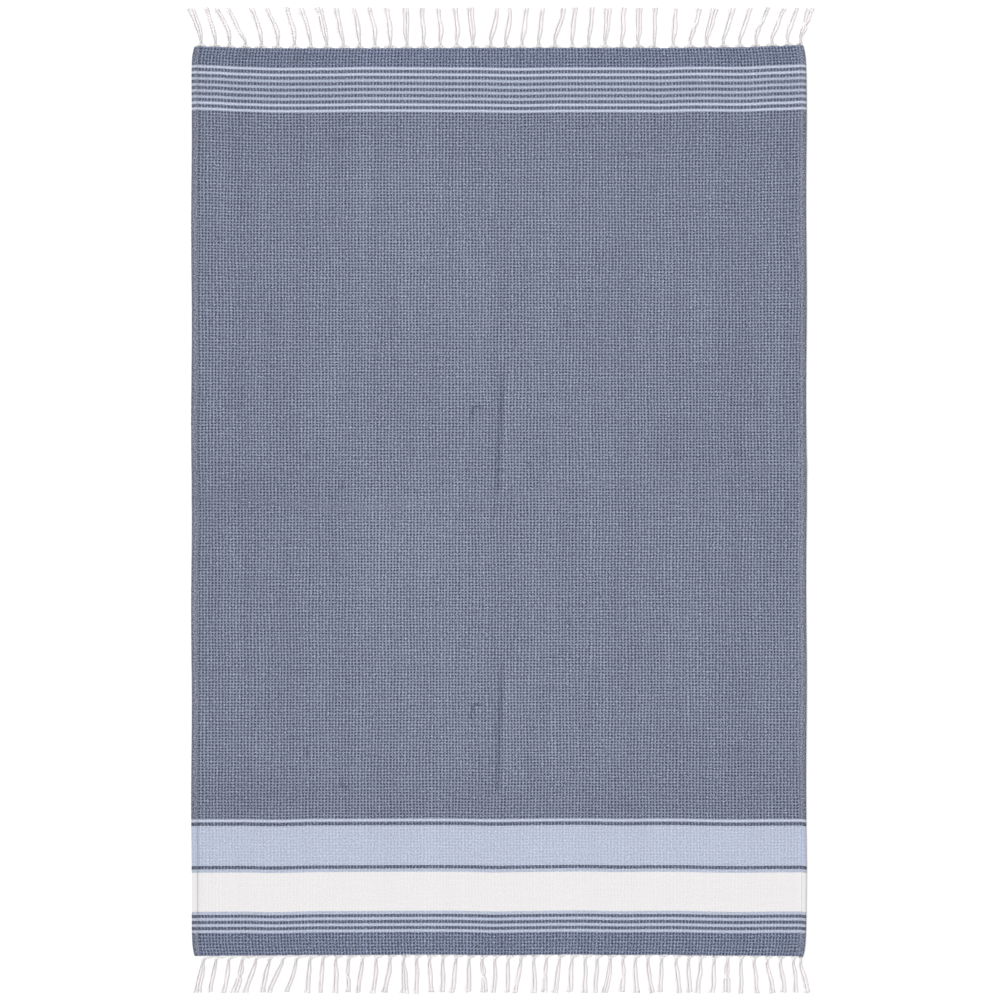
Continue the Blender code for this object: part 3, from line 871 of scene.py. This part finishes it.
def sheet_faces(high, wide):
    """Faces of a closed sheet of two grids, top before back, and the points of its rim."""
    grid = np.arange(high * wide).reshape(high, wide)
    low_left, low_right = grid[:-1, :-1], grid[:-1, 1:]
    high_left, high_right = grid[1:, :-1], grid[1:, 1:]
    top = np.stack([low_left, low_right, high_right, high_left], -1).reshape(-1, 4)
    shift = high * wide
    bottom = np.stack([low_left, high_left, high_right, low_right], -1).reshape(-1, 4) + shift
    rim = np.concatenate([grid[0, :], grid[1:, -1], grid[-1, -2::-1], grid[-2:0:-1, 0]])
    ahead = np.roll(rim, -1)
    sides = np.stack([rim, rim + shift, ahead + shift, ahead], -1)
    return np.concatenate([top, bottom, sides]), rim


def face_looks(rows, inset, rim):
    """For each face of the cloth, twice the number of its row's kind, and 1 more on a hem."""
    high, wide = inset.shape
    kinds = {first + index: name for first, kinds in BANDS for index, name in enumerate(kinds)}
    names = list(KINDS)
    middles = (rows[1:] + rows[:-1]) / 2
    kind = np.array([names.index(kinds.get(math.floor(row), "ground")) for row in middles])
    hemmed = (inset[:-1, :-1] + inset[1:, 1:]) / 2 < HEM_LOOK_WIDTH
    look = kind[:, None] * 2 + hemmed
    rim_look = look[np.clip(rim // wide, 0, high - 2), np.clip(rim % wide, 0, wide - 2)]
    return np.concatenate([look.ravel(), look.ravel(), rim_look])


def colour_rows(mesh, look):
    """Give each face the colours of its row, and the size and strength of its pits."""
    ridge, pit, knit = [], [], []
    for bright, dark, turned, pit_width, pit_height, strength, life, sunk in KINDS.values():
        hem = linear(turned)
        ridge += [(*linear(bright), life), (*hem, life**2 * HEM_LIFE)]
        pit += [(*linear(dark), sunk), (*(hem * HEM_PIT_TONE), sunk)]
        knit += [(pit_width, pit_height, strength), (pit_width, pit_height, HEM_STRENGTH * life)]
    add_attribute(mesh, "ridge", "FLOAT_COLOR", "FACE", np.array(ridge)[look])
    add_attribute(mesh, "pit", "FLOAT_COLOR", "FACE", np.array(pit)[look])
    add_attribute(mesh, "knit", "FLOAT_VECTOR", "FACE", np.array(knit)[look])


def make_cloth(material):
    """The woven cloth: a closed sheet whose grid rows are the rows of its weave."""
    rows, columns = weave_stations()
    stations, numbers = zip(*ROW_PLACES)
    along = np.interp(rows, numbers, stations)
    across_grid, along_grid = np.meshgrid(columns, along)
    x, y = place_on_cloth(across_grid, along_grid)
    inset = HALF_WIDTH - np.abs(across_grid)
    y = y - HEM_DROP * ease(1.0 - inset / HEM_WIDTH) + row_wave(across_grid, along_grid)
    level = cloth_lift(x, y) + relief(x, y)
    from_end = HALF_LENGTH - np.abs(along_grid)
    taper = read_table(END_TAPER, from_end, smooth=False)
    under = level + read_table(HEM_SECTION, inset, 1, smooth=False)
    over = level + read_table(HEM_SECTION, inset, 2, smooth=False) * taper
    over = np.maximum(over, under + LEAST_THICKNESS)
    points = np.concatenate([np.stack([x, y, z], -1).reshape(-1, 3) for z in (over, under)])
    faces, rim = sheet_faces(*x.shape)
    item = add_piece("towel_cloth", points.tolist(), faces.tolist(), material)

    mesh = item.data
    share_across = across_grid / CLOTH_WIDTH + 0.5
    row = np.repeat(rows[:, None], x.shape[1], 1)
    share_along = (row - numbers[0]) / (numbers[-1] - numbers[0])
    weave = np.stack([share_across * COLUMNS, row + MAP_SHIFT], -1)
    plain = np.stack([share_across, share_along], -1)
    for name, values in (("weave", weave), ("OFBake", plain)):
        values = np.concatenate([values.reshape(-1, 2)] * 2)
        add_map(mesh, name, values[faces.ravel()])
    tone = cloth_tone(inset, x, y)
    # painted shade along the side edges, where the hem's fold rounds down
    edge = 1.0 + FOLD_EDGE_PAINTED_SHADE * np.exp(-((inset / FOLD_EDGE_REACH) ** 2))
    for name, values in (("tone", tone), ("press", cloth_press(x, y)), ("edge", edge)):
        add_attribute(mesh, name, "FLOAT", "POINT", np.concatenate([values.ravel()] * 2))
    colour_rows(mesh, face_looks(rows, inset, rim))
    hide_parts("cloth")
    return item


class Bundle:
    """Closed tubes gathered into one mesh."""

    def __init__(self):
        self.points = []
        self.faces = []
        self.corners = []
        self.tones = []
        self.count = 0

    def tube(self, path, radii, sides, up, start=0.0, tone=1.0, squash=1.0):
        """Add a tube with closed ends along a path, with a tone and a flatness for each point."""
        path = np.asarray(path, dtype=float)
        rings = len(path)
        self.tones.append(np.repeat(np.broadcast_to(tone, rings), sides))
        ahead = np.gradient(path, axis=0)
        ahead /= np.linalg.norm(ahead, axis=1)[:, None]
        side = np.cross(ahead, up)
        side /= np.linalg.norm(side, axis=1)[:, None]
        rise = np.cross(side, ahead) * np.broadcast_to(squash, rings)[:, None]
        turn = TURN * np.arange(sides) / sides
        out = np.cos(turn)[None, :, None] * side[:, None, :]
        out = out + np.sin(turn)[None, :, None] * rise[:, None, :]
        radii = np.broadcast_to(radii, rings)
        self.points.append((path[:, None, :] + radii[:, None, None] * out).reshape(-1, 3))
        ring, step = np.meshgrid(np.arange(rings - 1), np.arange(sides), indexing="ij")
        near = self.count + ring * sides + step
        following = self.count + ring * sides + (step + 1) % sides
        quads = np.stack([near, near + sides, following + sides, following], -1)
        self.faces += quads.reshape(-1, 4).tolist()
        lengths = np.linalg.norm(np.diff(path, axis=0), axis=1)
        run = (start + np.concatenate([[0.0], np.cumsum(lengths)])) / STRAND_SPAN
        left, right = step / sides, (step + 1) / sides
        low, high = run[ring], run[ring + 1]
        corners = np.stack([left, low, left, high, right, high, right, low], -1)
        self.corners.append(corners.reshape(-1, 2))
        cap_x, cap_y = 0.5 + CAP_WIDTH * np.cos(turn), run[0] + CAP_LENGTH * (1 + np.sin(turn))
        cap = np.stack([cap_x, cap_y], -1)
        self.faces.append((self.count + np.arange(sides)).tolist())
        self.corners.append(cap)
        last = self.count + (rings - 1) * sides
        self.faces.append((last + np.arange(sides))[::-1].tolist())
        self.corners.append(cap[::-1] + (0.0, run[-1] - run[0] - 2 * CAP_LENGTH))
        self.count += rings * sides

    def piece(self, name, material, slot):
        """Turn the tubes into a piece."""
        points = np.concatenate(self.points)
        item = add_piece(name, points.tolist(), self.faces, material)
        corners = np.concatenate(self.corners)
        for map_name in ("strand", "OFBake"):
            add_map(item.data, map_name, corners)
        add_attribute(item.data, "tone", "FLOAT", "POINT", np.concatenate(self.tones))
        return item


def make_stitching(material):
    """A row of straight stitches along the inner edge of each side hem."""
    bundle = Bundle()
    count = int((CLOTH_LENGTH - 2 * STITCH_PITCH) / STITCH_PITCH)
    chance = random.Random(5)
    share = np.linspace(0.0, 1.0, STITCH_RINGS)
    arch = np.sin(math.pi * share) ** STITCH_ARCH
    for side, inset, tone in STITCH_ROWS:
        across = np.full(STITCH_RINGS, side * (HALF_WIDTH - inset))
        hem_top = float(read_table(HEM_SECTION, inset, 2, smooth=False))
        for index in range(count):
            middle = (index - (count - 1) / 2) * STITCH_PITCH
            middle += chance.uniform(-1, 1) * STITCH_UNEVEN
            x, y = place_on_cloth(across, middle + (share - 0.5) * STITCH_LENGTH)
            x = x + chance.uniform(-1, 1) * STITCH_STRAY
            x = x + (share - 0.5) * chance.uniform(-1, 1) * STITCH_SKEW
            z = cloth_lift(x, y) + relief(x, y) + hem_top + STITCH_RISE + (arch - 1.0) * STITCH_DIP
            path = np.stack([x, y, z], -1)
            # the tone darkens the right row with painted shade
            bundle.tube(path, STITCH_RADIUS, STITCH_SIDES, (0, 0, 1), tone=tone)
    return bundle.piece("towel_hem_stitching", material, "weave")


def plan_tassels(facts):
    """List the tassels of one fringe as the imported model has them."""
    chance = random.Random(facts.seed)
    rows = facts.tassels
    count = rows[-1][0]
    tassels = []
    for number in range(1, count + 1):
        measures = {name: chance.uniform(least, most) for name, least, most in VARIETY}
        tassel = SimpleNamespace(**measures)
        root = float(read_table(rows, number, 1, smooth=False))
        tassel.root += root
        tassel.lean += float(read_table(rows, number, 2, smooth=False)) - root
        tassel.reach += facts.reach
        tassel.locks = 2
        if number in facts.threes:
            tassel.locks = 3
            tassel.spread *= THREE_SPREAD
        tassel.twined = number in facts.twined
        tassel.pitch = (rows[-1][1] - rows[0][1]) / (count - 1)
        tassels.append(tassel)
    tips = [tassel.root + tassel.lean for tassel in tassels]
    rooms = [right - left for left, right in zip(tips, tips[1:])]
    for index, tassel in enumerate(tassels):
        nearest = min(rooms[max(index - 1, 0) : index + 1])
        tassel.spread = min(tassel.spread, nearest / 2 - LOCK_SECTIONS[2][1] - LOCK_GAP)
        tassel.fill = chance.uniform(*LOCK_FILL)
        tassel.belly = chance.uniform(*facts.belly) / tassel.locks
    return tassels


def lock_path(facts, tassel, lock, chance):
    """Centre line of one lock from inside the knot to its tip, with its half width and height."""
    way = facts.way
    edge = cloth_end(way, tassel.root)
    tip = HALF_LENGTH + tassel.reach - edge
    knot = facts.knot
    steps = np.linspace(0.0, 1.0, LOCK_RINGS)
    out = knot + (tip - knot) * steps
    share = np.clip((out - PARTING_OUT) / (tip - PARTING_OUT), 0.0, 1.0)
    width = read_table(LOCK_SECTIONS, share, 1 if tassel.locks == 2 else 2)
    height = read_table(LOCK_SECTIONS, share, 3)
    side = 2.0 * lock / (tassel.locks - 1) - 1.0
    width = width + tassel.belly * np.sin(math.pi * np.clip(share / BELLY_END, 0.0, 1.0))
    least = width * LOCK_NEARNESS * (tassel.locks - 1)
    apart = least + np.maximum(tassel.spread - least, 0.0) * share
    full = (apart + width) / tassel.locks
    width = width + (full - width) * tassel.fill
    apart = apart + (full * (tassel.locks - 1) - apart) * tassel.fill
    leave = ease((out - knot) / (PARTING_OUT - knot))
    apart = apart * (NECK_APART + (1.0 - NECK_APART) * leave)
    lift = np.zeros(LOCK_RINGS)
    if tassel.twined:
        start, end = TWINE_TURN
        turn = math.pi * ease((share - start) / (end - start))
        lift = TWINE_LIFT * np.abs(np.sin(turn)) * (1.0 - side)
        apart = apart * np.cos(turn)
    middle = tassel.root + tassel.lean * share**tassel.bend
    middle = middle + tassel.sway * np.sin(math.pi * share)
    middle = middle + tassel.turn * np.sin(TURN * share)
    x = middle + side * apart
    wave = share * chance.uniform(1.0, 2.0) + chance.random()
    x = x + LOCK_WANDER * np.sin(TURN * wave) * share
    return x, way * (edge + out), lift, width, height, share


def add_lock(bundle, facts, tassel, lock, chance):
    """One lock: yarns laid round each other from the knot to the cut tips."""
    x, y, lift, width, height, share = lock_path(facts, tassel, lock, chance)
    count = LOCK_YARNS[tassel.locks]
    turns = chance.uniform(*LOCK_TURNS)
    begin = chance.uniform(0.0, TURN)
    tight, free = SQUEEZE
    squeeze = tight + (1.0 - tight) * ease(share / free)
    flare = 1.0 + TIP_FLARE * late(share, TIP_FLARE_START)
    reach_x = (width - YARN_RADIUS) * squeeze
    reach_z = (height / 2 - YARN_RADIUS) * squeeze
    centre_z = height / 2 * squeeze + lift
    # painted shade at the neck and at the cut tips
    tone = NECK_PAINTED_SHADE + (1.0 - NECK_PAINTED_SHADE) * ease(share / NECK_REACH)
    tone = tone * (1.0 - (1.0 - TIP_PAINTED_SHADE) * late(share, TIP_SHADE_START))
    for index in range(count + 1):
        core = index == count
        spread = CORE_SPREAD if core else chance.uniform(*YARN_SPREAD)
        angle = begin + TURN * (index / count + turns * share)
        angle = angle + YARN_WANDER * np.sin(TURN * (share * YARN_WAVES + chance.random()))
        off_x = reach_x * spread * flare * np.cos(angle)
        off_z = reach_z * spread * np.sin(angle)
        uneven = chance.uniform(-TIP_UNEVEN, TIP_UNEVEN)
        path_y = y + facts.way * uneven * late(share, TIP_UNEVEN_START)
        radius = YARN_RADIUS * chance.uniform(*YARN_VARIETY)
        radii = radius * (1.0 - TIP_THINNING * late(share, TIP_THINNING_START))
        squash = 1.0
        if core:
            radius = (height / 2 * squeeze).min() * CORE_FILL
            radii = reach_x * flare * CORE_FILL
            squash = reach_z / reach_x * CORE_FILL
        path_z = centre_z + off_z
        settled = (path_z - radius) * TIP_SETTLING * late(share, TIP_SETTLING_START)
        path_z = np.maximum(path_z - settled, radius)
        path = np.stack([x + off_x, path_y, path_z], -1)
        sides = CORE_SIDES if core else YARN_SIDES
        start = chance.uniform(0.0, STRAND_START)
        bundle.tube(path, radii, sides, (0, 0, 1), start, tone, squash)


def add_gather(bundle, facts, tassel, chance):
    """Warp ends that leave the cloth side by side and run together into the knot."""
    way = facts.way
    knot = facts.knot
    steps = np.linspace(0.0, 1.0, ROOT_RINGS)
    for index in range(ROOT_YARNS):
        side = (index + 0.5) / ROOT_YARNS * 2.0 - 1.0
        start = tassel.root + side * tassel.pitch * 0.5
        start += read_table(facts.sweep, tassel.root) * tassel.pitch
        start += chance.uniform(-1, 1) * ROOT_STRAY
        start = np.clip(start, ROOT_INSET - HALF_WIDTH, HALF_WIDTH - ROOT_INSET)
        edge = cloth_end(way, start)
        bow = facts.bow + ROOT_BOW * abs(side)
        x = start + (tassel.root + side * ROOT_GATHER - start) * steps ** (1.0 / bow)
        out = -ROOT_DEPTH + (knot + ROOT_DEPTH) * steps**bow
        out = np.where(steps == 0, -ROOT_DEPTH, np.maximum(out, ROOT_BAND * chance.random()))
        z = ROOT_LEVEL + ROOT_CLIMB * ease(steps)
        z = z + chance.uniform(-1, 1) * ROOT_UNEVEN * (1 - steps)
        z = z + ROOT_LIFT * np.sin(math.pi * steps) * (index % 2)
        path = np.stack([x, way * (edge + out), z], -1)
        radius = ROOT_RADIUS * chance.uniform(*ROOT_VARIETY)
        # painted shade, darkening the loose warp towards the knot
        tone = 1.0 + (KNOT_PAINTED_SHADE - 1.0) * steps**3
        bundle.tube(path, radius, ROOT_SIDES, (0, 0, 1), tone=tone)


def add_knot(bundle, facts, tassel, chance):
    """Yarns wound round the neck of the tassel."""
    way = facts.way
    middle = cloth_end(way, tassel.root) + facts.knot
    steps = np.linspace(0.0, 1.0, KNOT_RINGS)
    begin = chance.uniform(0.0, TURN)
    hand = chance.choice((-1, 1))
    big = chance.uniform(*KNOT_VARIETY)
    for index in range(KNOT_YARNS):
        angle = begin + hand * TURN * KNOT_TURNS * steps
        shift = (index - (KNOT_YARNS - 1) / 2) * KNOT_SPACING
        out = (2.0 * steps - 1.0) * KNOT_HALF_LENGTH + shift + KNOT_SLANT * np.sin(angle)
        swollen = big * (1.0 - KNOT_TAPER * np.abs(2.0 * steps - 1.0) ** 3)
        x = tassel.root + KNOT_HALF_WIDTH * swollen * np.cos(angle)
        z = KNOT_HALF_HEIGHT * big + YARN_RADIUS + KNOT_HALF_HEIGHT * swollen * np.sin(angle)
        path = np.stack([x, way * (middle + out), z], -1)
        # the knot's yarns carry painted shade as their tone
        bundle.tube(path, KNOT_YARN_RADIUS, YARN_SIDES, (0, way, 0), tone=KNOT_PAINTED_SHADE)


def make_fringe(facts, material):
    """One end's fringe of knotted tassels."""
    bundle = Bundle()
    chance = random.Random(facts.seed + 100)
    for tassel in plan_tassels(facts):
        add_gather(bundle, facts, tassel, chance)
        add_knot(bundle, facts, tassel, chance)
        for lock in range(tassel.locks):
            add_lock(bundle, facts, tassel, lock, chance)
    item = bundle.piece(facts.piece, material, "yarn")
    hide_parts(facts.node)
    return item


def make_floor():
    """A plain pale floor."""
    half = FLOOR_SIZE / 2
    corners = ((-half, -half), (half, -half), (half, half), (-half, half))
    points = [(x, y, FLOOR_LEVEL) for x, y in corners]
    add_mesh("studio_floor", points, [(0, 1, 2, 3)], floor_material())


def make_light():
    """One broad soft light from the left over an even pale surround."""
    lamp = bpy.data.lights.new("studio_key", "SUN")
    lamp.energy = KEY_STRENGTH
    lamp.angle = math.radians(KEY_ANGLE)
    key = add_object("studio_key", lamp)
    key.rotation_euler = [math.radians(angle) for angle in KEY_TILT]
    world = bpy.data.worlds.new("studio")
    world.use_nodes = True
    backdrop = world.node_tree.nodes["Background"]
    backdrop.inputs["Color"].default_value = (1.0, 1.0, 1.0, 1.0)
    backdrop.inputs["Strength"].default_value = AMBIENT
    bpy.context.scene.world = world


def make_camera():
    """A camera straight above the towel."""
    camera = bpy.data.cameras.new("camera")
    camera.lens = CAMERA_LENS
    camera.sensor_width = CAMERA_SENSOR
    camera.clip_end = CAMERA_REACH
    eye = add_object("camera", camera)
    eye.location = CAMERA_PLACE
    bpy.context.scene.camera = eye
    bpy.context.scene.view_settings.view_transform = "Standard"


make_camera()
make_light()
make_floor()
cloth = make_cloth(weave_material())
stitching = make_stitching(strand_material("hem_thread", **THREAD_LOOK))
yarn = strand_material("fringe_yarn", **YARN_LOOK)
fringes = [make_fringe(facts, yarn) for facts in FRINGES]

bpy.context.view_layer.update()
